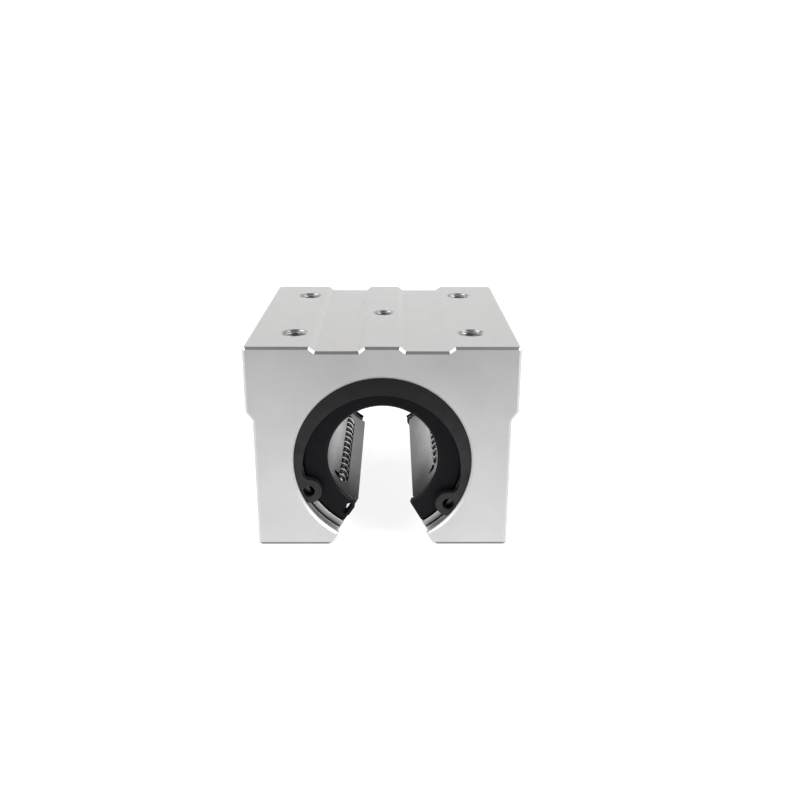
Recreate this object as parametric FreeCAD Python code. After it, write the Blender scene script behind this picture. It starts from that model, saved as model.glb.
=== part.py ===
import FreeCAD, Part
import math
import os

# Open linear bearing block for a 25 mm shaft that is carried on a continuous rail.
# Millimetres. +Y runs along the shaft, +Z is up, the origin is on the shaft's axis
# halfway along the block. Angles about the shaft are counted from +X towards +Z.

# Housing: an aluminium extrusion, bored and cut to length
block_width = 60.0
block_length = 65.0
axis_to_top = 27.0
axis_to_foot = 20.0
leg_inset = 1.5
shoulder_height = 14.8
shoulder_slope = 2.0
edge_break = 0.55
channel_depth = 1.0
centre_land_width = 7.6
outer_land_width = 14.3
channel_wall_run = 1.3
mouth_half_angle = 30.0

# Tapped holes for the table, and the two grub screws
bolt_spacing_x = 40.0
bolt_spacing_y = 40.0
bolt_tap_drill = 5.0
bolt_thread_size = 6.0
bolt_hole_depth = 12.0
grub_thread_size = 5.0
grub_tap_drill = 4.2
grub_clearance = 0.02
grub_socket_flats = 2.5
grub_socket_depth = 2.5
locating_screw_sink = 2.0
locating_tip_radius = 1.4
locating_tip_length = 1.0
adjusting_screw_sink = 0.15
adjusting_screw_z = -8.0
sink_over_thread = 0.4
drill_point_angle = 118.0

# Shaft, balls and their tracks
shaft_diameter = 25.0
ball_diameter = 3.572
ball_spacing = 3.6
circuit_count = 5
circuit_step_angle = 60.0
cage_turn_angle = 3.0
row_half_angle = 10.0
return_lift = 1.2
first_ball_offset = 0.2
track_clearance = 0.12
race_clearance = 0.01

# Hardened sleeve
sleeve_diameter = 40.0
sleeve_end_inset = 3.0
sleeve_end_wall = 1.8
sleeve_edge = 0.5
sleeve_ring_groove_spacing = 41.0
sleeve_ring_groove_width = 1.85
sleeve_ring_groove_depth = 1.0
race_lead_in = 1.2
bore_fit_clearance = 0.01
locating_dimple_depth = 1.3
locating_dimple_clearance = 0.1

# Cage
cage_wall_inside = 0.5
cage_end_play = 0.1
cage_end_rim = 2.74
cage_collar_clearance = 0.2
cage_overhang_angle = 0.7
cage_flange_thickness = 1.4
cage_flange_angle = 8.0
cage_corner_radius = 1.0
cage_edge = 0.35

# End seals
seal_seat_clearance = 0.05
seal_seat_depth = 3.0
seal_thickness = 2.8
seal_rim_width = 0.45
seal_rim_depth = 0.5
lip_land = 0.5
lip_bevel = 0.4
lip_height = 0.45
lip_undercut_depth = 1.4
seal_eye_length = 2.8
seal_eye_width = 1.0
seal_eye_height = 2.45
seal_eye_inset_angle = 3.6
seal_eye_wall = 0.8

# Internal circlips
circlip_thickness = 1.75
circlip_groove_width = 1.85
circlip_groove_depth = 1.25
circlip_widest = 5.5
circlip_narrowest = 1.1
circlip_ear_radius = 2.9
circlip_ear_inset = 2.95
circlip_ear_hole_diameter = 2.6
circlip_ear_fillet = 1.6
circlip_ear_half_angle = 60.9
front_circlip_gap_angle = -95.75
rear_circlip_gap_angle = -90.0

# Sizes that follow from the ones above
half_length = block_length / 2
leg_half_width = block_width / 2 - leg_inset
sleeve_radius = sleeve_diameter / 2
sleeve_half = half_length - sleeve_end_inset
bore_radius = sleeve_radius + bore_fit_clearance
shaft_radius = shaft_diameter / 2
ball_radius = ball_diameter / 2
load_radius = shaft_radius + ball_radius
return_radius = load_radius + return_lift
channel_radius = ball_radius + track_clearance
race_radius = load_radius + ball_radius + race_clearance
relief_radius = return_radius + channel_radius
seal_seat_radius = sleeve_radius - sleeve_end_wall
seal_radius = seal_seat_radius - seal_seat_clearance
cage_inner_radius = shaft_radius + cage_wall_inside
cage_outer_radius = race_radius - track_clearance
cage_collar_radius = relief_radius - track_clearance
cage_half_length = sleeve_half - seal_seat_depth - cage_end_play
cage_mouth_half_angle = mouth_half_angle - cage_overhang_angle
circlip_groove_radius = sleeve_radius + circlip_groove_depth
circlip_play = (circlip_groove_width - circlip_thickness) / 2
circlip_radius = circlip_groove_radius - circlip_play
circlip_ear_circle = circlip_radius - circlip_ear_inset

origin = FreeCAD.Vector(0, 0, 0)
along = FreeCAD.Vector(0, 1, 0)
up = FreeCAD.Vector(0, 0, 1)
turn_axis = FreeCAD.Vector(0, -1, 0)
down_angle = -90.0
all_round = 360.0
open_round = all_round - 2 * mouth_half_angle
past = 1.0
tiny = 1e-6


def at(radius, angle, y=0.0):
    """Point at a radius and an angle about the shaft."""
    turn = math.radians(angle)
    return FreeCAD.Vector(radius * math.cos(turn), y, radius * math.sin(turn))


def face_of(points):
    """Flat face inside a closed outline of straight edges."""
    return Part.Face(Part.makePolygon(points + points[:1]))


def turned(outline, start, sweep):
    """Solid of revolution about the shaft from a (radius, y) outline."""
    points = [at(radius, start, y) for radius, y in outline]
    return face_of(points).revolve(origin, turn_axis, sweep)


def ring(inner, outer, y_low, y_high):
    """Full ring about the shaft with a rectangular section."""
    outline = [(inner, y_low), (outer, y_low), (outer, y_high), (inner, y_high)]
    return turned(outline, 0.0, all_round)


def drilled(mouth, direction, radius, depth):
    """Blind hole with a drill point, started a little above its mouth."""
    start = mouth - direction * past
    shank = Part.makeCylinder(radius, depth + past, start, direction)
    point_length = radius / math.tan(math.radians(drill_point_angle / 2))
    point = Part.makeCone(radius, 0.0, point_length, mouth + direction * depth, direction)
    return shank.fuse(point)


def countersink(mouth, direction, thread_size):
    """Ninety degree cone that opens a tapped hole a little past its thread."""
    rim = thread_size / 2 + sink_over_thread / 2
    return Part.makeCone(rim + past, 0.0, rim + past, mouth - direction * past, direction)


def hexagon_prism(flats, start, direction, depth):
    """Six-sided key socket."""
    across_corners = flats / math.cos(math.radians(30.0))
    circle = Part.Circle(start, direction, across_corners / 2)
    corners = [circle.value(math.radians(60.0 * i)) for i in range(6)]
    return face_of(corners).extrude(direction * depth)


# Housing

def top_outline():
    """Right half of the top edge, from the middle outwards: land, channel, outer land."""
    land = centre_land_width / 2
    floor = axis_to_top - channel_depth
    side = block_width / 2
    channel_end = side - outer_land_width
    return [
        (land, axis_to_top),
        (land + channel_wall_run, floor),
        (channel_end - channel_wall_run, floor),
        (channel_end, axis_to_top),
        (side - edge_break, axis_to_top),
        (side, axis_to_top - edge_break),
    ]


def side_outline():
    """Right flank from the shoulder down to the mouth of the slot."""
    shoulder_z = axis_to_top - shoulder_height
    mouth_x = axis_to_foot * math.tan(math.radians(mouth_half_angle))
    return [
        (block_width / 2, shoulder_z),
        (leg_half_width, shoulder_z - shoulder_slope),
        (leg_half_width, -axis_to_foot + edge_break),
        (leg_half_width - edge_break, -axis_to_foot),
        (mouth_x, -axis_to_foot),
    ]


def block_profile():
    """Section of the housing: stepped flanks, radial mouth and the bearing's bore."""
    right = top_outline() + side_outline()
    left = [(-x, z) for x, z in reversed(right)]
    points = [FreeCAD.Vector(x, -half_length, z) for x, z in left + right]
    bore_left = at(bore_radius, down_angle - mouth_half_angle, -half_length)
    bore_right = at(bore_radius, down_angle + mouth_half_angle, -half_length)
    bore_top = FreeCAD.Vector(0, -half_length, bore_radius)
    outside = Part.makePolygon([bore_left] + points + [bore_right])
    bore = Part.Arc(bore_right, bore_top, bore_left).toShape()
    return Part.Face(Part.Wire(outside.Edges + [bore]))


def end_edges(solid):
    """Edges that lie wholly in one of the two sawn end faces."""
    return [edge for edge in solid.Edges if abs(abs(edge.CenterOfMass.y) - half_length) < tiny]


def bolt_places():
    """Centres of the tapped holes in the top face."""
    xs = (-bolt_spacing_x / 2, bolt_spacing_x / 2)
    ys = (-bolt_spacing_y / 2, bolt_spacing_y / 2)
    return [FreeCAD.Vector(x, y, axis_to_top) for x in xs for y in ys]


def grub_hole(mouth, direction, reach):
    """Tapped through hole for a grub screw, with its countersink."""
    length = reach + 2 * past
    hole = Part.makeCylinder(grub_tap_drill / 2, length, mouth - direction * past, direction)
    return hole.fuse(countersink(mouth, direction, grub_thread_size))


def make_housing():
    block = block_profile().extrude(along * block_length)
    block = block.makeChamfer(edge_break, end_edges(block))
    for end in (-1, 1):
        inner = end * sleeve_half
        outer = end * (sleeve_half + circlip_groove_width)
        block = block.cut(ring(shaft_radius, circlip_groove_radius, inner, outer))
    for place in bolt_places():
        block = block.cut(drilled(place, -up, bolt_tap_drill / 2, bolt_hole_depth))
        block = block.cut(countersink(place, -up, bolt_thread_size))
    top = FreeCAD.Vector(0, 0, axis_to_top)
    block = block.cut(grub_hole(top, -up, axis_to_top - bore_radius))
    side = FreeCAD.Vector(leg_half_width, 0, adjusting_screw_z)
    reach = leg_half_width - bore_wall_x()
    return block.cut(grub_hole(side, FreeCAD.Vector(-1, 0, 0), reach))


def bore_wall_x():
    """Where the level of the adjusting screw meets the bore."""
    return math.sqrt(sleeve_radius ** 2 - adjusting_screw_z ** 2)


# Ball tracks: each circuit is a flat oval, tilted so that the loaded row touches
# the shaft and the returning row rides clear of it. It is laid out at the top of
# the bearing and turned to its place.

load_point = at(load_radius, 90.0 + row_half_angle)
return_point = at(return_radius, 90.0 - row_half_angle)
oval_centre = (load_point + return_point) * 0.5
oval_radius = load_point.distanceToPoint(return_point) / 2
oval_across = (load_point - oval_centre).normalize()
oval_outward = along.cross(oval_across)
race_half = cage_half_length - cage_end_rim - channel_radius - oval_radius
row_length = 2 * race_half
turn_length = math.pi * oval_radius
lap_length = 2 * (row_length + turn_length)
first_ball_travel = row_length + turn_length + race_half + first_ball_offset


def channel_section(centre):
    """Round-bottomed section of a ball channel, open outwards, in the XZ plane."""
    side = oval_across * channel_radius
    rise = oval_outward * (relief_radius - cage_inner_radius)
    bottom = centre - oval_outward * channel_radius
    edges = [
        Part.LineSegment(centre + side + rise, centre + side).toShape(),
        Part.Arc(centre + side, bottom, centre - side).toShape(),
        Part.LineSegment(centre - side, centre - side + rise).toShape(),
        Part.LineSegment(centre - side + rise, centre + side + rise).toShape(),
    ]
    return Part.Face(Part.Wire(edges))


def track_channel():
    """Channel that one circuit of balls runs in: two straight rows and two turns."""
    low = along * -race_half
    high = along * race_half
    rows = [channel_section(p + low).extrude(high - low) for p in (load_point, return_point)]
    near_turn = channel_section(load_point + low).revolve(oval_centre + low, oval_outward, 180.0)
    far_turn = channel_section(load_point + high).revolve(oval_centre + high, -oval_outward, 180.0)
    return rows[0].multiFuse([rows[1], near_turn, far_turn]).removeSplitter()


def track_point(travel):
    """Centre of a ball that has gone a given distance round its circuit."""
    travel = travel % lap_length
    if travel < row_length:
        return load_point + along * (travel - race_half)
    travel -= row_length
    if travel < turn_length:
        return on_turn(travel / oval_radius, 1)
    travel -= turn_length
    if travel < row_length:
        return return_point + along * (race_half - travel)
    return on_turn((travel - row_length) / oval_radius + math.pi, -1)


def on_turn(angle, end):
    """Point on the half circle at one end of the oval."""
    across = oval_across * (oval_radius * math.cos(angle))
    return oval_centre + across + along * (end * race_half + oval_radius * math.sin(angle))


def ball_centres():
    """Chain of balls round one circuit, each set as soon as it clears the last."""
    step = ball_spacing / 200
    centres = [track_point(first_ball_travel)]
    for count in range(1, int(lap_length / step)):
        point = track_point(first_ball_travel + count * step)
        clear_of_last = point.distanceToPoint(centres[-1]) >= ball_spacing
        clear_of_first = point.distanceToPoint(centres[0]) >= ball_spacing
        if clear_of_last and (clear_of_first or len(centres) == 1):
            centres.append(point)
    return centres


def circuit_angles():
    """Angles of the circuits' middles; the sixth place is the open mouth."""
    first = down_angle + circuit_step_angle + cage_turn_angle
    return [first + circuit_step_angle * i for i in range(circuit_count)]


def turned_to(shape, angle):
    """Copy of a shape laid out at the top, turned about the shaft to an angle."""
    moved = shape.copy()
    moved.rotate(origin, turn_axis, angle - 90.0)
    return moved


def make_ball_rows(angle):
    """Loaded balls and returning balls of one circuit."""
    loaded = []
    returning = []
    for centre in ball_centres():
        ball = turned_to(Part.makeSphere(ball_radius, centre), angle)
        in_load_row = centre.distanceToPoint(load_point) <= race_half
        on_load_side = centre.distanceToLine(load_point, along) < race_clearance
        if in_load_row and on_load_side:
            loaded.append(ball)
        else:
            returning.append(ball)
    return Part.makeCompound(loaded), Part.makeCompound(returning)


# Sleeve, cage, seals

def make_sleeve():
    seat_y = sleeve_half - seal_seat_depth
    lead_y = race_half + race_lead_in
    half = [
        (race_radius, race_half),
        (relief_radius, lead_y),
        (relief_radius, seat_y),
        (seal_seat_radius, seat_y),
        (seal_seat_radius, sleeve_half),
        (sleeve_radius - sleeve_edge, sleeve_half),
        (sleeve_radius, sleeve_half - sleeve_edge),
    ]
    outline = half + [(radius, -y) for radius, y in reversed(half)]
    sleeve = turned(outline, down_angle + mouth_half_angle, open_round)
    groove_floor = sleeve_radius - sleeve_ring_groove_depth
    for end in (-1, 1):
        outer = end * sleeve_ring_groove_spacing / 2
        inner = outer - end * sleeve_ring_groove_width
        sleeve = sleeve.cut(ring(groove_floor, sleeve_radius + past, inner, outer))
    relief = Part.makeCylinder(
        channel_radius, 2 * sleeve_half, return_point - along * sleeve_half, along)
    for angle in circuit_angles():
        sleeve = sleeve.cut(turned_to(relief, angle))
    mouth = FreeCAD.Vector(0, 0, sleeve_radius)
    dimple_radius = locating_tip_radius + locating_dimple_clearance
    return sleeve.cut(drilled(mouth, -up, dimple_radius, locating_dimple_depth))


def make_cage():
    collar_y = race_half + race_lead_in + cage_collar_clearance
    half = [
        (cage_outer_radius, collar_y),
        (cage_collar_radius, collar_y),
        (cage_collar_radius, cage_half_length - cage_edge),
        (cage_collar_radius - cage_edge, cage_half_length),
        (cage_inner_radius + cage_edge, cage_half_length),
        (cage_inner_radius, cage_half_length - cage_edge),
    ]
    outline = half + [(radius, -y) for radius, y in reversed(half)]
    start = down_angle + cage_turn_angle + cage_mouth_half_angle
    sweep = all_round - 2 * cage_mouth_half_angle
    cage = turned(outline, start, sweep)
    flange_radius = cage_inner_radius + cage_flange_thickness
    for edge_angle in (start, start + sweep - cage_flange_angle):
        cage = cage.cut(behind_flange(flange_radius, edge_angle))
    cage = cage.makeFillet(cage_corner_radius, flange_corners(cage))
    channel = track_channel()
    for angle in circuit_angles():
        cage = cage.cut(turned_to(channel, angle))
    return cage


def behind_flange(flange_radius, start):
    """Space outside the thin flange along one edge of the cage's slot."""
    outline = [
        (flange_radius, -sleeve_half),
        (sleeve_radius, -sleeve_half),
        (sleeve_radius, sleeve_half),
        (flange_radius, sleeve_half),
    ]
    return turned(outline, start, cage_flange_angle)


def flange_corners(cage):
    """Radial edges at the four corners of the slot."""
    corners = []
    for edge in cage.Edges:
        middle = edge.CenterOfMass
        at_end = abs(abs(middle.y) - cage_half_length) < tiny
        length = cage_flange_thickness - cage_edge
        if at_end and abs(edge.Length - length) < tiny and middle.z < 0:
            corners.append(edge)
    return corners


def seal_bar(half_width, low, high):
    """Upright round-ended bar on a radius, where the eye in one end of a seal is."""
    angle = down_angle - mouth_half_angle - seal_eye_inset_angle
    reach = at(seal_eye_length / 2 - seal_eye_width / 2, angle)
    aside = at(half_width, angle + 90.0)
    tip = at(half_width, angle)
    middle = at(shaft_radius + seal_eye_height, angle, low)
    edges = [
        Part.LineSegment(middle - reach + aside, middle + reach + aside).toShape(),
        Part.Arc(middle + reach + aside, middle + reach + tip, middle + reach - aside).toShape(),
        Part.LineSegment(middle + reach - aside, middle - reach - aside).toShape(),
        Part.Arc(middle - reach - aside, middle - reach - tip, middle - reach + aside).toShape(),
    ]
    return Part.Face(Part.Wire(edges)).extrude(along * (high - low))


def make_front_seal():
    """Wiper seal: a ring with a lowered rim, an undercut lip, and an eye in one end."""
    back = seal_seat_depth - sleeve_half
    front = back - seal_thickness
    outline = [
        (shaft_radius, front + lip_bevel + lip_land),
        (shaft_radius, front + lip_bevel),
        (shaft_radius + lip_bevel, front),
        (seal_radius - seal_rim_width, front),
        (seal_radius - seal_rim_width, front + seal_rim_depth),
        (seal_radius, front + seal_rim_depth),
        (seal_radius, back),
        (shaft_radius + lip_height, back),
        (shaft_radius + lip_height, back - lip_undercut_depth),
    ]
    seal = turned(outline, down_angle + mouth_half_angle, open_round)
    half_width = seal_eye_width / 2
    seal = seal.fuse(seal_bar(half_width + seal_eye_wall, front, back))
    return seal.cut(seal_bar(half_width, front - past, back + past))


def make_rear_seal():
    """The same seal turned about to face the other way."""
    seal = make_front_seal()
    seal.rotate(origin, up, 180.0)
    return seal


def make_circlip(end, gap_angle):
    """Internal circlip: a ring that thickens away from its gap, with two eared ends."""
    low = sleeve_half + circlip_play
    base = low if end > 0 else -low - circlip_thickness
    disc = Part.makeCylinder(circlip_radius, circlip_thickness, along * base, along)
    hollow = at((circlip_widest - circlip_narrowest) / 2, gap_angle, base)
    hollow_radius = circlip_radius - (circlip_widest + circlip_narrowest) / 2
    clip = disc.cut(Part.makeCylinder(hollow_radius, circlip_thickness, hollow, along))
    wedge = [
        at(0.0, 0.0, base),
        at(2 * circlip_radius, gap_angle - circlip_ear_half_angle, base),
        at(2 * circlip_radius, gap_angle, base),
        at(2 * circlip_radius, gap_angle + circlip_ear_half_angle, base),
    ]
    clip = clip.cut(face_of(wedge).extrude(along * circlip_thickness))
    for side in (-1, 1):
        angle = gap_angle + side * circlip_ear_half_angle
        place = at(circlip_ear_circle, angle, base)
        ear = Part.makeCylinder(circlip_ear_radius, circlip_thickness, place, along)
        clip = clip.fuse(ear)
    clip = clip.removeSplitter()
    clip = clip.makeFillet(circlip_ear_fillet, ear_corners(clip))
    for side in (-1, 1):
        angle = gap_angle + side * circlip_ear_half_angle
        place = at(circlip_ear_circle, angle, base)
        hole = Part.makeCylinder(circlip_ear_hole_diameter / 2, circlip_thickness, place, along)
        clip = clip.cut(hole)
    return clip


def ear_corners(clip):
    """Inner corners where each ear leaves the ring."""
    corners = []
    for edge in clip.Edges:
        middle = edge.CenterOfMass
        upright = abs(edge.Length - circlip_thickness) < tiny
        inside = math.hypot(middle.x, middle.z) < sleeve_radius
        if upright and inside:
            corners.append(edge)
    return corners


def make_grub(tip, direction, length, nose):
    """Socket grub screw from the end of its nose back along a direction."""
    radius = grub_tap_drill / 2 - grub_clearance
    body = Part.makeCylinder(radius, length, tip, direction)
    socket_start = tip + direction * (length - grub_socket_depth)
    socket = hexagon_prism(grub_socket_flats, socket_start, direction, grub_socket_depth + past)
    return body.cut(socket).fuse(nose)


def make_locating_screw():
    """Dog-point grub screw whose nose keeps the sleeve from turning."""
    start = FreeCAD.Vector(0, 0, bore_radius + grub_clearance)
    length = axis_to_top - locating_screw_sink - start.z
    nose = Part.makeCylinder(locating_tip_radius, locating_tip_length, start, -up)
    return make_grub(start, up, length, nose)


def make_adjusting_screw():
    """Cone-point grub screw in one leg that closes the sleeve on the shaft."""
    outward = FreeCAD.Vector(1, 0, 0)
    radius = grub_tap_drill / 2 - grub_clearance
    point_x = bore_wall_x() + grub_clearance
    start = FreeCAD.Vector(point_x + radius, 0, adjusting_screw_z)
    length = leg_half_width - adjusting_screw_sink - start.x
    nose = Part.makeCone(radius, 0.0, radius, start, -outward)
    return make_grub(start, outward, length, nose)


def save(shape, node):
    shape.exportStep(os.path.join("parts", node + ".step"))


os.makedirs("parts", exist_ok=True)
save(make_housing(), "housing")
save(make_sleeve(), "bearing_sleeve")
save(make_cage(), "ball_cage")
save(make_front_seal(), "front_seal")
save(make_rear_seal(), "rear_seal")
save(make_circlip(-1, front_circlip_gap_angle), "front_circlip")
save(make_circlip(1, rear_circlip_gap_angle), "rear_circlip")
save(make_locating_screw(), "locating_screw")
save(make_adjusting_screw(), "adjusting_screw")
for number, angle in enumerate(circuit_angles(), 1):
    loaded, returning = make_ball_rows(angle)
    save(loaded, "load_balls_%d" % number)
    save(returning, "return_balls_%d" % number)
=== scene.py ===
import math

import bmesh
import bpy
from mathutils import Matrix, Vector


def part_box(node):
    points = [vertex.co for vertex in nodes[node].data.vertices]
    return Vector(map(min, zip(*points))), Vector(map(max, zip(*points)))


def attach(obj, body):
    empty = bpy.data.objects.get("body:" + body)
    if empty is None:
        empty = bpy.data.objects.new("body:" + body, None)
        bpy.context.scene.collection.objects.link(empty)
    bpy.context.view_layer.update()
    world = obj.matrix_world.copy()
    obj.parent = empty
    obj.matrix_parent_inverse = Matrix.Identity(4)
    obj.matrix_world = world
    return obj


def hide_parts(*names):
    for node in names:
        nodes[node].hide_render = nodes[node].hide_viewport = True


# Open linear bearing block, dressed for a studio picture. Metres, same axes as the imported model.
mm = 0.001
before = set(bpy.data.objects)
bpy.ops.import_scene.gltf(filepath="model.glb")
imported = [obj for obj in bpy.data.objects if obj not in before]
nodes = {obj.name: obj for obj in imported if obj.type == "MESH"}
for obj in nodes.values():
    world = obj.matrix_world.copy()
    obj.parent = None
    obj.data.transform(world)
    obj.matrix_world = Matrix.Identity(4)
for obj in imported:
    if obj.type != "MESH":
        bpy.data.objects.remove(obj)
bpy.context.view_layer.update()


# picking and editing helpers

surfacing = {
    "weldGap": 0.002 * mm,
    "flatAngle": 0.3,  # degrees: triangles flatter than this are joined
    "roundFrom": 28,  # degrees: sharper corners are rounded
    "smoothTo": 20,  # degrees: softer corners are shaded smooth
    "flatWeight": 90,
}


def pickOnly(piece):
    if bpy.context.object and bpy.context.object.mode == "EDIT":
        bpy.ops.object.mode_set(mode="OBJECT")
    bpy.ops.object.select_all(action="DESELECT")
    piece.select_set(True)
    bpy.context.view_layer.objects.active = piece


def editMode(piece, kind="VERT"):
    pickOnly(piece)
    bpy.ops.object.mode_set(mode="EDIT")
    bpy.ops.mesh.select_mode(type=kind)
    bpy.ops.mesh.select_all(action="DESELECT")


def objectMode():
    bpy.ops.object.mode_set(mode="OBJECT")


def selectWhere(piece, kind, test):
    # piece is in edit mode; picks its edges or faces that pass the test
    shape = bmesh.from_edit_mesh(piece.data)
    for item in getattr(shape, kind):
        item.select_set(bool(test(item)))
    shape.select_flush_mode()
    bmesh.update_edit_mesh(piece.data)


def applyModifier(piece, kind, **settings):
    pickOnly(piece)
    modifier = piece.modifiers.new(kind.title(), kind)
    for name, value in settings.items():
        setattr(modifier, name, value)
    bpy.ops.object.modifier_apply(modifier=modifier.name)


def applyPlace(piece):
    pickOnly(piece)
    bpy.ops.object.transform_apply(location=True, rotation=True, scale=True)


def smoothByAngle(piece, degrees=surfacing["smoothTo"]):
    # flats stay flat right up to their rounded edges
    pickOnly(piece)
    bpy.ops.object.shade_smooth_by_angle(angle=math.radians(degrees))
    applyModifier(piece, "WEIGHTED_NORMAL", mode="FACE_AREA", weight=surfacing["flatWeight"],
                  keep_sharp=True)


def copyOfNode(nodeName, pieceName):
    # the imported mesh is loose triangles, so the copy is welded and its flats are joined up
    piece = bpy.data.objects.new(pieceName, nodes[nodeName].data.copy())
    bpy.context.scene.collection.objects.link(piece)
    piece.data.materials.clear()
    editMode(piece)
    bpy.ops.mesh.select_all(action="SELECT")
    bpy.ops.mesh.customdata_custom_splitnormals_clear()
    bpy.ops.mesh.remove_doubles(threshold=surfacing["weldGap"])
    bpy.ops.mesh.dissolve_limited(angle_limit=math.radians(surfacing["flatAngle"]))
    objectMode()
    return piece


def roundEdges(piece, width, segments=2, smooth=surfacing["smoothTo"]):
    applyModifier(piece, "BEVEL", width=width, segments=segments, limit_method="ANGLE",
                  angle_limit=math.radians(surfacing["roundFrom"]), use_clamp_overlap=False,
                  harden_normals=False, miter_outer="MITER_ARC")
    smoothByAngle(piece, smooth)


def settle(piece, nodeName):
    # the piece is finished: it rides on the block and stands for the node it covers
    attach(piece, "root")
    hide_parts(nodeName)
    print("made", piece.name, len(piece.data.polygons), "faces")


# shader maths

class Wire:
    # wraps a shader socket, so that sums on it are written as sums
    def __init__(self, shader, socket):
        self.shader = shader
        self.socket = socket

    def maths(self, operation, *values):
        return self.shader.node("ShaderNodeMath", {"operation": operation}, dict(enumerate(values)))

    def __add__(self, other):
        return self.maths("ADD", self, other)

    def __radd__(self, other):
        return self.maths("ADD", other, self)

    def __sub__(self, other):
        return self.maths("SUBTRACT", self, other)

    def __rsub__(self, other):
        return self.maths("SUBTRACT", other, self)

    def __mul__(self, other):
        return self.maths("MULTIPLY", self, other)

    def __rmul__(self, other):
        return self.maths("MULTIPLY", other, self)

    def __pow__(self, other):
        return self.maths("POWER", self, other)

    def __rpow__(self, other):
        return self.maths("POWER", other, self)

    def __abs__(self):
        return self.maths("ABSOLUTE", self)


class Shader:
    def __init__(self, owner, surface="Principled BSDF", **fixed):
        # owner is a new material's name, or the world; fixed values go straight on the surface
        self.material = bpy.data.materials.new(owner) if isinstance(owner, str) else owner
        self.material.use_nodes = True
        self.tree = self.material.node_tree
        self.surface = self.tree.nodes[surface]
        self.use(**fixed)

    def plug(self, socket, value):
        if isinstance(value, Wire):
            self.tree.links.new(value.socket, socket)
        elif socket.type == "RGBA":
            socket.default_value = (*value, 1.0)
        else:
            socket.default_value = value

    def node(self, kind, settings=None, inputs=None, output=0):
        made = self.tree.nodes.new(kind)
        for name, value in (settings or {}).items():
            setattr(made, name, value)
        for name, value in (inputs or {}).items():
            self.plug(made.inputs[name], value)
        return Wire(self, made.outputs[output])

    def coords(self, scale=1.0, turn=(0, 0, 0), move=(0, 0, 0)):
        # object coordinates in millimetres, stretched by one scale or by one for each axis
        scales = scale if isinstance(scale, tuple) else (scale,) * 3
        return self.node("ShaderNodeMapping", {}, {
            "Vector": self.node("ShaderNodeTexCoord", output="Object"),
            "Location": move, "Rotation": turn, "Scale": tuple(s / mm for s in scales)})

    def along(self, axis):
        # the place along X, Y or Z in millimetres
        return self.node("ShaderNodeSeparateXYZ", {}, {"Vector": self.coords()}, output=axis)

    def fromAxis(self):
        # distance from the shaft's axis in millimetres
        x, z = self.along("X"), self.along("Z")
        return (x * x + z * z) ** 0.5

    def noise(self, scale, detail=3.0, roughness=0.5, **place):
        # scale is how many patches there are to a millimetre; turn and move lay the pattern out
        return self.node("ShaderNodeTexNoise", {}, {
            "Vector": self.coords(scale, **place), "Scale": 1.0,
            "Detail": detail, "Roughness": roughness})

    def between(self, value, low, high, lowOut=0.0, highOut=1.0):
        # goes from lowOut to highOut as the value goes from low to high, and is level outside
        return self.node("ShaderNodeMapRange", {"clamp": True}, {
            "Value": value, "From Min": low, "From Max": high, "To Min": lowOut, "To Max": highOut})

    def blend(self, factor, first, second):
        # a Mix node's colour sockets are 6 and 7, and its colour output is 2
        return self.node("ShaderNodeMix", {"data_type": "RGBA"}, {0: factor, 6: first, 7: second}, output=2)

    def mottle(self, field, look, low=0.35, high=0.65):
        # the finish's own colour, cloudy with its darker shade
        return self.blend(self.between(field, low, high), look["shade"], look["base"])

    def use(self, **inputs):
        for socketName, value in inputs.items():
            self.plug(self.surface.inputs[socketName.replace("_", " ")], value)
        return self.material

    def dress(self, colour, rough, height, relief):
        # relief is how high the bumps stand in millimetres, and their strength
        distance, strength = relief
        normal = self.node("ShaderNodeBump", {}, {
            "Height": height, "Distance": distance * mm, "Strength": strength})
        return self.use(Base_Color=colour, Roughness=rough, Normal=normal)


# finishes: lengths, places and radii in millimetres

def anodisedExtrusion():
    # long faces as they left the die, clear anodised: faint lines, clouding, hairline scratches, specks
    look = {
        "base": (0.556, 0.549, 0.539),
        "shade": (0.498, 0.493, 0.486),
        "scratched": (0.82, 0.82, 0.81),
        "dirt": (0.22, 0.215, 0.21),
        "roughness": 0.36,
        "relief": (0.006, 0.5),
    }
    s = Shader("anodisedExtrusion", Metallic=0.88)
    dieLines = s.noise((9.0, 0.10, 9.0), 4.0, 0.6)
    grain = s.noise(14.0, 2.0, 0.6)
    cloud = s.noise((0.07, 0.05, 0.07), 3.0, 0.55)
    scratchField = s.noise((1.4, 0.03, 1.4), 1.0, 0.4, turn=(0, 0, 0.35))
    scratchPatch = s.between(s.noise(0.05, 1.0, move=(3, 1, 2)), 0.50, 0.58)
    scratch = s.between(abs(scratchField - 0.5), 0.0, 0.004, 1.0, 0.0) * scratchPatch
    speckField = s.noise((0.9, 0.7, 0.9), 4.0, 0.7, move=(5, 2, 1))
    speck = s.between(speckField, 0.66, 0.72) * s.between(cloud, 0.45, 0.6)
    smear = s.between(s.noise((0.35, 0.12, 0.35), 4.0, 0.65, turn=(0, 0, 0.6)), 0.60, 0.74)
    colour = s.mottle(cloud * 0.75 + dieLines * 0.25, look)
    colour = s.blend(scratch * 0.6, colour, look["scratched"])
    colour = s.blend(speck * 0.35 + smear * 0.16, colour, look["dirt"])
    rough = look["roughness"] + (cloud - 0.5) * 0.12 + (dieLines - 0.5) * 0.08 - scratch * 0.08
    return s.dress(colour, rough, dieLines * 0.5 + grain * 0.35 - scratch * 0.6, look["relief"])


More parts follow.
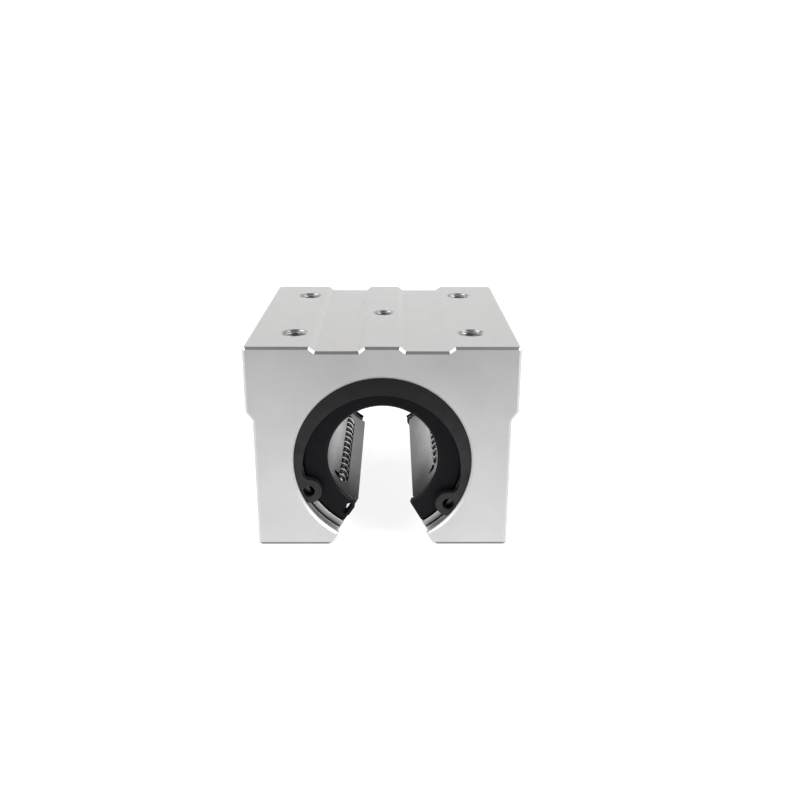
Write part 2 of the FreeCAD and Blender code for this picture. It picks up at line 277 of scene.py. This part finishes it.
def sawnEnd():
    # the two end faces: milled with a wide cutter, then anodised
    look = {
        "base": (0.672, 0.672, 0.675),
        "shade": (0.587, 0.588, 0.594),
        "roughness": 0.42,
        "relief": (0.006, 0.5),
    }
    s = Shader("sawnEnd", Metallic=0.85)
    sweep = s.noise((0.6, 0.1, 6.0), 4.0, 0.65, turn=(0, 0.12, 0))
    grain = s.noise(16.0, 2.0, 0.6)
    cloud = s.noise(0.06)
    colour = s.mottle(cloud * 0.7 + sweep * 0.3, look)
    rough = look["roughness"] + (cloud - 0.5) * 0.10 + (sweep - 0.5) * 0.08
    return s.dress(colour, rough, sweep * 0.45 + grain * 0.4, look["relief"])


def cutEdge():
    # the chamfers along the sawn ends, skimmed bright
    look = {
        "base": (0.67, 0.67, 0.665),
        "shade": (0.58, 0.58, 0.58),
        "roughness": 0.40,
        "relief": (0.003, 0.2),
    }
    s = Shader("cutEdge", Metallic=0.95)
    feed = s.noise(3.0, 3.0, 0.6)
    rough = look["roughness"] + (feed - 0.5) * 0.08
    return s.dress(s.mottle(feed, look), rough, feed, look["relief"])


def cutAluminium():
    # bore and mouth flanks: bare cuts, duller than the chamfers, with painted shade on the floors of the
    # circlip grooves
    look = {
        "base": (0.78, 0.78, 0.77),
        "shade": (0.68, 0.68, 0.675),
        "paintedShade": (0.02, 0.02, 0.02),
        "grooveFloor": (20.9, 21.1),
        "groovePlace": 30.4,
        "grooveHalf": (0.94, 1.0),
        "roughness": 0.46,
        "relief": (0.004, 0.4),
    }
    s = Shader("cutAluminium", Metallic=0.45)
    feed = s.noise((2.0, 12.0, 2.0), 3.0, 0.6)
    cloud = s.noise(0.15, 2.0)
    # painted shade: the floors of the circlip grooves are darkened
    fromGroove = abs(abs(s.along("Y")) - look["groovePlace"])
    grooveShadeMask = s.between(fromGroove, *look["grooveHalf"], 1.0, 0.0)
    grooveShadeMask = s.between(s.fromAxis(), *look["grooveFloor"]) * grooveShadeMask
    colour = s.blend(grooveShadeMask * 0.95, s.mottle(cloud, look), look["paintedShade"])
    rough = look["roughness"] + (cloud - 0.5) * 0.12 + (feed - 0.5) * 0.1
    return s.dress(colour, rough, feed, look["relief"])


def cutThread():
    # tapped holes and their countersinks: glossy flanks, with painted shade darkening the top holes further
    # down
    look = {
        "base": (0.64, 0.64, 0.63),
        "shade": (0.50, 0.50, 0.495),
        "paintedShade": (0.02, 0.02, 0.02),
        "paintedShadeFade": (17.0, 25.0),
        "holeEnd": (12.0, 12.5),
        "roughness": 0.38,
        "relief": (0.004, 0.3),
    }
    s = Shader("cutThread", Metallic=0.97)
    z = s.along("Z")
    feed = s.noise((1.5, 1.5, 6.0), 3.0, 0.6)
    # painted shade: darker further down the holes in the top
    paintedShade = s.between(z + (feed - 0.5) * 2.0, *look["paintedShadeFade"], 1.0, 0.0) * s.between(z, *look["holeEnd"])
    colour = s.blend(paintedShade * 0.9, s.mottle(feed, look), look["paintedShade"])
    rough = look["roughness"] + (feed - 0.5) * 0.10
    return s.dress(colour, rough, feed, look["relief"])


def groundSteel():
    # hardened sleeve: ground round the axis, with painted shade inside it, round its outer rim and on its
    # end face under the circlips
    look = {
        "base": (0.44, 0.44, 0.425),
        "shade": (0.33, 0.33, 0.318),
        "paintedShade": (0.035, 0.033, 0.03),
        "inside": (18.0, 18.25),
        "rim": (19.45, 19.6),
        "covered": (-11.6, -11.0),
        "roughness": 0.33,
        "relief": (0.004, 0.4),
    }
    s = Shader("groundSteel", Metallic=0.95)
    turning = s.noise((1.2, 10.0, 1.2), 4.0, 0.6)
    stain = s.noise(0.25, 4.0, 0.6)
    radius = s.fromAxis()
    # painted shade: darker inside 18 mm from the axis, on the outer rim where the sleeve meets the housing,
    # and on the end face under the circlips
    inside = s.between(radius, *look["inside"], 1.0, 0.0)
    rim = s.between(radius, *look["rim"])
    covered = s.between(s.along("Z") + s.along("X") * 0.05, *look["covered"])
    paintedShadeMask = s.node("ShaderNodeMath", {"operation": "MAXIMUM", "use_clamp": True},
                  {0: inside, 1: covered + rim})
    colour = s.blend(paintedShadeMask * 0.86, s.mottle(stain, look, 0.35, 0.7), look["paintedShade"])
    rough = look["roughness"] + (stain - 0.5) * 0.16 + (turning - 0.5) * 0.08
    return s.dress(colour, rough, turning, look["relief"])


def cageMetal():
    # cage: satin grey with a brushed sheen, darker towards its slot, and with painted shade towards its ends
    # next to the seals
    look = {
        "base": (0.36, 0.36, 0.36),
        "shade": (0.27, 0.27, 0.274),
        "slotDarkening": (0.06, 0.06, 0.064),
        "endPaintedShade": (0.03, 0.03, 0.032),
        "slot": (-10.0, -5.0),
        "ends": (16.5, 27.0),
        "roughness": 0.30,
        "relief": (0.010, 0.4),
    }
    s = Shader("cageMetal", Metallic=0.9)
    skin = s.noise((1.5, 0.25, 1.5), 4.0, 0.6)
    stain = s.noise((0.22, 0.12, 0.22), 4.0, 0.6)
    slot = s.between(s.along("Z") + (stain - 0.5) * 3.0, *look["slot"], 1.0, 0.0)
    # painted shade towards the ends, where the seals keep the light off
    ends = s.between(abs(s.along("Y")) + (stain - 0.5) * 6.0, *look["ends"])
    colour = s.blend(slot * 0.9, s.mottle(stain, look, 0.35, 0.7), look["slotDarkening"])
    colour = s.blend(ends * 0.85, colour, look["endPaintedShade"])
    rough = look["roughness"] + (stain - 0.5) * 0.14 + (skin - 0.5) * 0.10
    return s.dress(colour, rough, skin, look["relief"])


def sealRubber():
    # black nitrile, dull on its faces and shinier on the moulded lip
    look = {
        "base": (0.0078, 0.0069, 0.0102),
        "shade": (0.0046, 0.0037, 0.0062),
        "lip": (12.9, 13.1),
        "roughness": 0.52,
        "relief": (0.012, 0.5),
    }
    s = Shader("sealRubber", Metallic=0.0, Specular_IOR_Level=0.14)
    bloom = s.noise(0.35, 5.0, 0.6)
    pebble = s.noise(9.0, 3.0, 0.6)
    lip = s.between(s.fromAxis(), *look["lip"], 1.0, 0.0)
    rough = look["roughness"] + (bloom - 0.5) * 0.2 + (pebble - 0.5) * 0.06 - lip * 0.22
    return s.dress(s.mottle(bloom, look, 0.4, 0.75), rough, pebble, look["relief"])


def phosphatedSteel():
    # spring steel circlips, phosphated, with painted shade darkening them towards the top
    look = {
        "base": (0.040, 0.041, 0.043),
        "shade": (0.020, 0.0205, 0.022),
        "paintedShade": (0.004, 0.004, 0.0045),
        "paintedTopShade": (6.0, 22.0),
        "roughness": 0.44,
        "relief": (0.010, 0.5),
    }
    s = Shader("phosphatedSteel", Metallic=0.25, Specular_IOR_Level=0.30)
    stain = s.noise(0.28, 5.0, 0.6)
    grit = s.noise(11.0, 3.0, 0.65)
    # painted shade: darker towards the top
    paintedTopShade = s.between(s.along("Z") + stain * 6.0, *look["paintedTopShade"])
    colour = s.blend(paintedTopShade * 0.7, s.mottle(stain, look, 0.35, 0.7), look["paintedShade"])
    rough = look["roughness"] + (stain - 0.5) * 0.18 + (grit - 0.5) * 0.1
    return s.dress(colour, rough, grit, look["relief"])


def polishedBall():
    # lapped bearing balls, with painted shade where they sit deep in their track, further out than 13.5 mm
    # from the axis
    look = {
        "base": (0.55, 0.55, 0.55),
        "shade": (0.43, 0.43, 0.435),
        "paintedShade": (0.010, 0.010, 0.010),
        "track": (12.9, 13.5),
        "roughness": 0.05,
        "relief": (0.002, 0.3),
    }
    s = Shader("polishedBall", Metallic=1.0)
    film = s.noise(0.5)
    # painted shade: darker and duller away from the shaft, so the gaps between the balls read black
    sunk = s.between(s.fromAxis(), *look["track"])
    colour = s.blend(sunk * 0.97, s.mottle(film, look), look["paintedShade"])
    rough = look["roughness"] + (film - 0.5) * 0.05 + sunk * 0.55
    return s.dress(colour, rough, film, look["relief"])


def blackOxide():
    # grub screws
    look = {
        "base": (0.08, 0.078, 0.075),
        "shade": (0.035, 0.035, 0.038),
        "roughness": 0.36,
        "relief": (0.01, 0.4),
    }
    s = Shader("blackOxide", Metallic=0.6)
    stain = s.noise(0.9, 4.0, 0.6)
    rough = look["roughness"] + (stain - 0.5) * 0.2
    return s.dress(s.mottle(stain, look, 0.35, 0.7), rough, stain, look["relief"])


finish = {
    "anodised": anodisedExtrusion(),
    "sawn": sawnEnd(),
    "edge": cutEdge(),
    "cut": cutAluminium(),
    "thread": cutThread(),
    "ground": groundSteel(),
    "cage": cageMetal(),
    "rubber": sealRubber(),
    "phosphate": phosphatedSteel(),
    "ball": polishedBall(),
    "oxide": blackOxide(),
}
print("finishes ready")

nodeFinish = {
    "housing": "anodised",
    "bearing_sleeve": "ground",
    "ball_cage": "cage",
    "front_seal": "rubber",
    "rear_seal": "rubber",
    "front_circlip": "phosphate",
    "rear_circlip": "phosphate",
    "locating_screw": "oxide",
    "adjusting_screw": "oxide",
}


def give(piece, *names):
    piece.data.materials.clear()
    for name in names:
        piece.data.materials.append(finish[name])


for nodeName in nodes:
    give(nodes[nodeName], nodeFinish.get(nodeName, "ball"))  # all the other nodes are balls


# threads, cut into holes and rolled on screws

threadMesh = {
    "sides": 40,
    "rowsPerPitch": 8,
    "past": 1.0 * mm,  # how far a column stands out of its hole
    "plainEnd": 0.05 * mm,
    "crestFlat": 1.25,  # more widens the crest
    "flankSlope": 2.6,  # more steepens the flanks and widens the root
}
down = Vector((0, 0, -1))
inward = Vector((-1, 0, 0))
sideHole = Vector((28.5 * mm, 0, -8.0 * mm))


def threadedColumn(thread, mouth, direction):
    # a column whose wall swells along a helix, laid along a hole from just outside its mouth
    length = thread["depth"] + threadMesh["past"]
    bpy.ops.object.select_all(action="DESELECT")
    bpy.ops.mesh.primitive_cylinder_add(vertices=threadMesh["sides"], radius=thread["core"], depth=length)
    column = bpy.context.object
    editMode(column, "EDGE")
    selectWhere(column, "edges", lambda e: abs(e.verts[0].co.z - e.verts[1].co.z) > length / 2)
    bpy.ops.mesh.subdivide(number_cuts=int(length / thread["pitch"] * threadMesh["rowsPerPitch"]))
    shape = bmesh.from_edit_mesh(column.data)
    swell = thread["crest"] / thread["core"] - 1
    for v in shape.verts:
        phase = (v.co.z / thread["pitch"] + math.atan2(v.co.y, v.co.x) / math.tau) % 1.0
        fromRoot = threadMesh["crestFlat"] - abs(phase - 0.5) * threadMesh["flankSlope"]
        grow = 1 + swell * min(1.0, max(0.0, fromRoot))
        if abs(v.co.z) < length / 2 - threadMesh["plainEnd"]:
            v.co.x *= grow
            v.co.y *= grow
    bmesh.update_edit_mesh(column.data)
    objectMode()
    column.location = mouth + direction * (length / 2 - threadMesh["past"])
    column.rotation_euler = direction.to_track_quat("Z", "Y").to_euler()
    applyPlace(column)
    return column


def combine(piece, tool, operation="DIFFERENCE"):
    applyModifier(piece, "BOOLEAN", operation=operation, solver="EXACT", object=tool)
    bpy.data.objects.remove(tool)


# housing: welded copy with eased edges and cut threads

housingLook = {
    "edgeEase": 0.05 * mm,
    "smooth": 14,
    "footRound": 0.7 * mm,
    "footSegments": 4,
    "bolts": [(x * mm, y * mm) for x in (-20, 20) for y in (-20, 20)],
    "boltThread": {"core": 2.5 * mm, "crest": 3.0 * mm, "pitch": 1.0 * mm, "depth": 11.0 * mm},
    "grubThread": {"core": 2.1 * mm, "crest": 2.5 * mm, "pitch": 0.8 * mm, "depth": 7.6 * mm},
    "sideThread": {"core": 2.1 * mm, "crest": 2.5 * mm, "pitch": 0.8 * mm, "depth": 9.4 * mm},
}
# where the cuts lie that get a finish of their own
cutZones = {
    "boreReach": 21.4 * mm,
    "endDepth": 0.5 * mm,
    "footLength": 30 * mm,
    "footHeight": 0.05 * mm,
    "mouthHalf": 13 * mm,
    "flank": (-19.9 * mm, -17 * mm),
    "topReach": 3.4 * mm,
    "topFloor": 14 * mm,
    "topSkin": 0.02 * mm,
    "sideReach": 2.9 * mm,
    "sideFloor": 17 * mm,
    # parts of a face's normal: the first three along the shaft, the last along the hole
    "endFace": 0.95,
    "endChamfer": 0.1,
    "alongShaft": 0.3,
    "holeWall": 0.98,
}


def footEdge(edge, low):
    # the two long edges between the feet and the flanks of the mouth
    onFoot = all(v.co.z < low.z + cutZones["footHeight"] for v in edge.verts)
    atMouth = all(abs(v.co.x) < cutZones["mouthHalf"] for v in edge.verts)
    return edge.calc_length() > cutZones["footLength"] and onFoot and atMouth


def boreFace(face, low):
    # bore, circlip grooves and the flanks of the mouth, without the chamfers round them
    centre = face.calc_center_median()
    level = abs(face.normal.y) < cutZones["alongShaft"]
    inside = abs(centre.y) < -low.y - cutZones["endDepth"]
    nearBore = math.hypot(centre.x, centre.z) < cutZones["boreReach"] and (level or inside)
    flankFoot, flankTop = cutZones["flank"]
    onFlank = abs(centre.x) < cutZones["mouthHalf"] and flankFoot < centre.z < flankTop and level
    return nearBore or onFlank


def holeFace(face, high):
    # tapped holes in the top and in the side, with their countersinks
    centre = face.calc_center_median()
    inTop = (cutZones["topFloor"] < centre.z < high.z - cutZones["topSkin"]
             and abs(face.normal.z) < cutZones["holeWall"]
             and any(math.hypot(centre.x - x, centre.y - y) < cutZones["topReach"]
                     for x, y in housingLook["bolts"] + [(0, 0)]))
    inSide = (centre.x > cutZones["sideFloor"]
              and abs(face.normal.x) < cutZones["holeWall"]
              and math.hypot(centre.y, centre.z - sideHole.z) < cutZones["sideReach"])
    return inTop or inSide


def paintFaces(piece, slotIndex, test):
    # gives the faces that pass the test one of the piece's materials
    editMode(piece, "FACE")
    selectWhere(piece, "faces", test)
    piece.active_material_index = slotIndex
    bpy.ops.object.material_slot_assign()
    objectMode()


def makeHousing():
    low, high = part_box("housing")
    block = copyOfNode("housing", "blockBody")
    # the feet are rubbed round where they meet the mouth
    editMode(block, "EDGE")
    selectWhere(block, "edges", lambda e: footEdge(e, low))
    bpy.ops.mesh.bevel(offset=housingLook["footRound"], segments=housingLook["footSegments"])
    objectMode()
    roundEdges(block, housingLook["edgeEase"], smooth=housingLook["smooth"])
    for x, y in housingLook["bolts"]:
        combine(block, threadedColumn(housingLook["boltThread"], Vector((x, y, high.z)), down))
    combine(block, threadedColumn(housingLook["grubThread"], Vector((0, 0, high.z)), down))
    combine(block, threadedColumn(housingLook["sideThread"], sideHole, inward))
    # each cut has its finish, and a later one goes over an earlier one
    cuts = {
        "sawn": lambda f: abs(f.normal.y) > cutZones["endFace"],
        "edge": lambda f: cutZones["endChamfer"] < abs(f.normal.y) <= cutZones["endFace"],
        "cut": lambda f: boreFace(f, low),
        "thread": lambda f: holeFace(f, high),
    }
    give(block, "anodised", *cuts)
    for slotIndex, test in enumerate(cuts.values(), 1):
        paintFaces(block, slotIndex, test)
    smoothByAngle(block, housingLook["smooth"])
    settle(block, "housing")


makeHousing()


# thin dark pieces and turned steel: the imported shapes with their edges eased

easedPieces = {
    "front_circlip": {"name": "frontCirclip", "finish": "phosphate", "slot": "circlip_steel",
                      "ease": 0.12 * mm, "segments": 2},
    "rear_circlip": {"name": "rearCirclip", "finish": "phosphate", "slot": "circlip_steel",
                     "ease": 0.12 * mm, "segments": 2},
    "front_seal": {"name": "frontSeal", "finish": "rubber", "slot": "seal_rubber",
                   "ease": 0.08 * mm, "segments": 2},
    "rear_seal": {"name": "rearSeal", "finish": "rubber", "slot": "seal_rubber",
                  "ease": 0.08 * mm, "segments": 2},
    "ball_cage": {"name": "ballCage", "finish": "cage", "slot": "cage_polymer",
                  "ease": 0.07 * mm, "segments": 1},
    "bearing_sleeve": {"name": "bearingSleeve", "finish": "ground", "slot": "sleeve_steel",
                       "ease": 0.08 * mm, "segments": 1},
}

for nodeName, look in easedPieces.items():
    piece = copyOfNode(nodeName, look["name"])
    roundEdges(piece, look["ease"], look["segments"])
    give(piece, look["finish"])
    settle(piece, nodeName)


# grub screws: eased copies with a thread rolled on

grubLook = {
    "ease": 0.1 * mm,
    "thread": {"core": 1.72 * mm, "crest": 2.25 * mm, "pitch": 0.8 * mm, "depth": 13.0 * mm},
    "screws": {
        "locating_screw": {"name": "locatingGrub", "mouth": Vector((0, 0, 27.0 * mm)), "way": down},
        "adjusting_screw": {"name": "adjustingGrub", "mouth": sideHole, "way": inward},
    },
}

for nodeName, look in grubLook["screws"].items():
    screw = copyOfNode(nodeName, look["name"])
    roundEdges(screw, grubLook["ease"])
    combine(screw, threadedColumn(grubLook["thread"], look["mouth"], look["way"]), "INTERSECT")
    give(screw, "oxide")
    smoothByAngle(screw)
    settle(screw, nodeName)


# stage, lights and camera

backdropLook = {
    "floor": -20.0 * mm,
    "reach": 1.2,
    "wall": 1.0,
    "sweep": 0.35,
    "sweepSegments": 12,
    "backEdge": 0.9,  # share of the reach past which an edge is the back one
    "onFloor": 0.01,
    "tone": (0.50, 0.50, 0.50),
    "tooth": 0.985,
    # painted shadow colour under the feet and in the mouth
    "unlit": (0.05, 0.05, 0.05),
    "glow": 0.72,
    # in millimetres: where the glow dims towards the camera, where the painted shadow under the feet and in
    # the mouth begins, and where the painted light round the block fades
    "front": (-190.0, -118.0),
    "foot": (27.8, 31.8),
    "mouth": (11.5, 12.5),
    "halo": (35.0, 95.0),
    "frontGlow": 0.3,
    "paintedHaloGlow": 1.16,
}


def makeBackdrop():
    # lit white sheet that sweeps up into the wall behind
    look = backdropLook
    backEdge = look["reach"] * look["backEdge"]
    bpy.ops.object.select_all(action="DESELECT")
    bpy.ops.mesh.primitive_plane_add(size=2 * look["reach"], location=(0, 0, look["floor"]))
    floor = bpy.context.object
    floor.name = "backdrop"
    editMode(floor, "EDGE")
    selectWhere(floor, "edges", lambda e: all(v.co.y > backEdge for v in e.verts))
    bpy.ops.mesh.extrude_region_move(TRANSFORM_OT_translate={"value": (0, 0, look["wall"])})
    selectWhere(floor, "edges",
                lambda e: all(v.co.y > backEdge and v.co.z < look["onFloor"] for v in e.verts))
    bpy.ops.mesh.bevel(offset=look["sweep"], segments=look["sweepSegments"])
    objectMode()
    applyPlace(floor)
    bpy.ops.object.shade_smooth()
    s = Shader("backdropPaper", Roughness=0.9, Emission_Strength=1.0)
    x, y = s.along("X"), s.along("Y")
    tooth = s.noise(0.4)
    # the sheet glows from below; under the feet and in the mouth its colour and glow are painted dark as a
    # shadow, and it dims towards the camera
    wide, deep = look["foot"]
    pastFoot = s.between(abs(x) - wide, 0.0, 1.0) + s.between(abs(y) - deep, 0.0, 1.0)
    past = pastFoot + s.between(abs(x), *look["mouth"], 1.0, 0.0)
    lit = s.between(past, 0.0, 1.0) * s.between(y, *look["front"], look["frontGlow"], 1.0)
    # painted light: the glow is raised round the block, making up for the shadow it casts
    paintedLightRoundBlock = s.between((x * x + y * y) ** 0.5, *look["halo"], look["paintedHaloGlow"], 1.0)
    paper = s.blend(s.between(tooth, 0.3, 0.7), look["tone"], tuple(c * look["tooth"] for c in look["tone"]))
    paper = s.blend(lit, look["unlit"], paper)
    # the factor is halved and the colour doubled, because a mix stops at 1
    glow = s.blend(lit * paintedLightRoundBlock * 0.5, (0.0, 0.0, 0.0), (2 * look["glow"],) * 3)
    floor.data.materials.append(s.use(Base_Color=paper, Emission_Color=glow))


lightsLook = {
    "leftSoftbox": {"place": (-0.66, -0.24, 0.56), "aim": (0, 0, 0), "size": (0.5, 0.6), "power": 2.6},
    "rightSoftbox": {"place": (0.66, -0.24, 0.56), "aim": (0, 0, 0), "size": (0.5, 0.6), "power": 4.2},
    "wallWash": {"place": (0.0, 0.35, 0.75), "aim": (0, 1.1, 0.1), "size": (1.2, 0.3), "power": 3.0},
}
roomLook = {
    "dark": (0.085, 0.086, 0.092),
    "pale": (0.80, 0.81, 0.82),
    "sides": (1.25, 1.26, 1.28),
    # directions from -1 to 1: upwards, away from the camera, and to either side
    "paleTop": (0.05, 0.55),
    "behind": (-0.9, 0.2),
    "behindLight": 0.35,
    "sidesFrom": (0.55, 0.9),
    "sidesTop": (0.35, 0.75),
}


def makeLights():
    for name, look in lightsLook.items():
        light = bpy.data.lights.new(name, "AREA")
        light.shape = "RECTANGLE"
        light.size, light.size_y = look["size"]
        light.energy = look["power"]
        lamp = bpy.data.objects.new(name, light)
        bpy.context.scene.collection.objects.link(lamp)
        lamp.location = look["place"]
        beam = Vector(look["aim"]) - Vector(look["place"])
        lamp.rotation_euler = beam.to_track_quat("-Z", "Y").to_euler()


def makeRoom():
    # pale near the ground, bright at the sides, dark overhead and behind the camera
    room = Shader(bpy.data.worlds.new("studio"), "Background", Strength=1.0)
    way = room.node("ShaderNodeTexCoord", output="Generated")
    across, deep, high = [room.node("ShaderNodeSeparateXYZ", {}, {"Vector": way}, output=axis)
                          for axis in "XYZ"]
    pale = room.between(high, *roomLook["paleTop"], 1.0, 0.0)
    pale = pale * room.between(deep, *roomLook["behind"], roomLook["behindLight"], 1.0)
    sides = room.between(abs(across), *roomLook["sidesFrom"])
    sides = sides * room.between(high, *roomLook["sidesTop"], 1.0, 0.0)
    colour = room.blend(pale, roomLook["dark"], roomLook["pale"])
    bpy.context.scene.world = room.use(Color=room.blend(sides, colour, roomLook["sides"]))


cameraLook = {
    "place": (2.283 * mm, -209.548 * mm, 76.088 * mm),
    "down": 18.99,
    "turn": 0.51,
    "roll": 0.18,
    "lens": 38.72,
    "sensor": 36.0,
    "clipStart": 0.005,
}


def makeCamera():
    tilt, turn, roll = [math.radians(cameraLook[name]) for name in ("down", "turn", "roll")]
    forward = Vector((math.sin(turn) * math.cos(tilt), math.cos(turn) * math.cos(tilt), -math.sin(tilt)))
    right = Vector((math.cos(turn), -math.sin(turn), 0.0))
    top = right.cross(forward)
    rolledRight = right * math.cos(roll) + top * math.sin(roll)
    rolledTop = top * math.cos(roll) - right * math.sin(roll)
    camera = bpy.data.cameras.new("studioCamera")
    camera.lens = cameraLook["lens"]
    camera.sensor_width = cameraLook["sensor"]
    camera.clip_start = cameraLook["clipStart"]
    holder = bpy.data.objects.new("studioCamera", camera)
    bpy.context.scene.collection.objects.link(holder)
    turned = Matrix((rolledRight, rolledTop, -forward)).transposed().to_4x4()
    holder.matrix_world = Matrix.Translation(cameraLook["place"]) @ turned
    bpy.context.scene.camera = holder


makeBackdrop()
makeLights()
makeRoom()
makeCamera()
bpy.context.scene.view_settings.view_transform = "Standard"
bpy.context.scene.view_settings.look = "None"
print("stage, lights and camera ready")
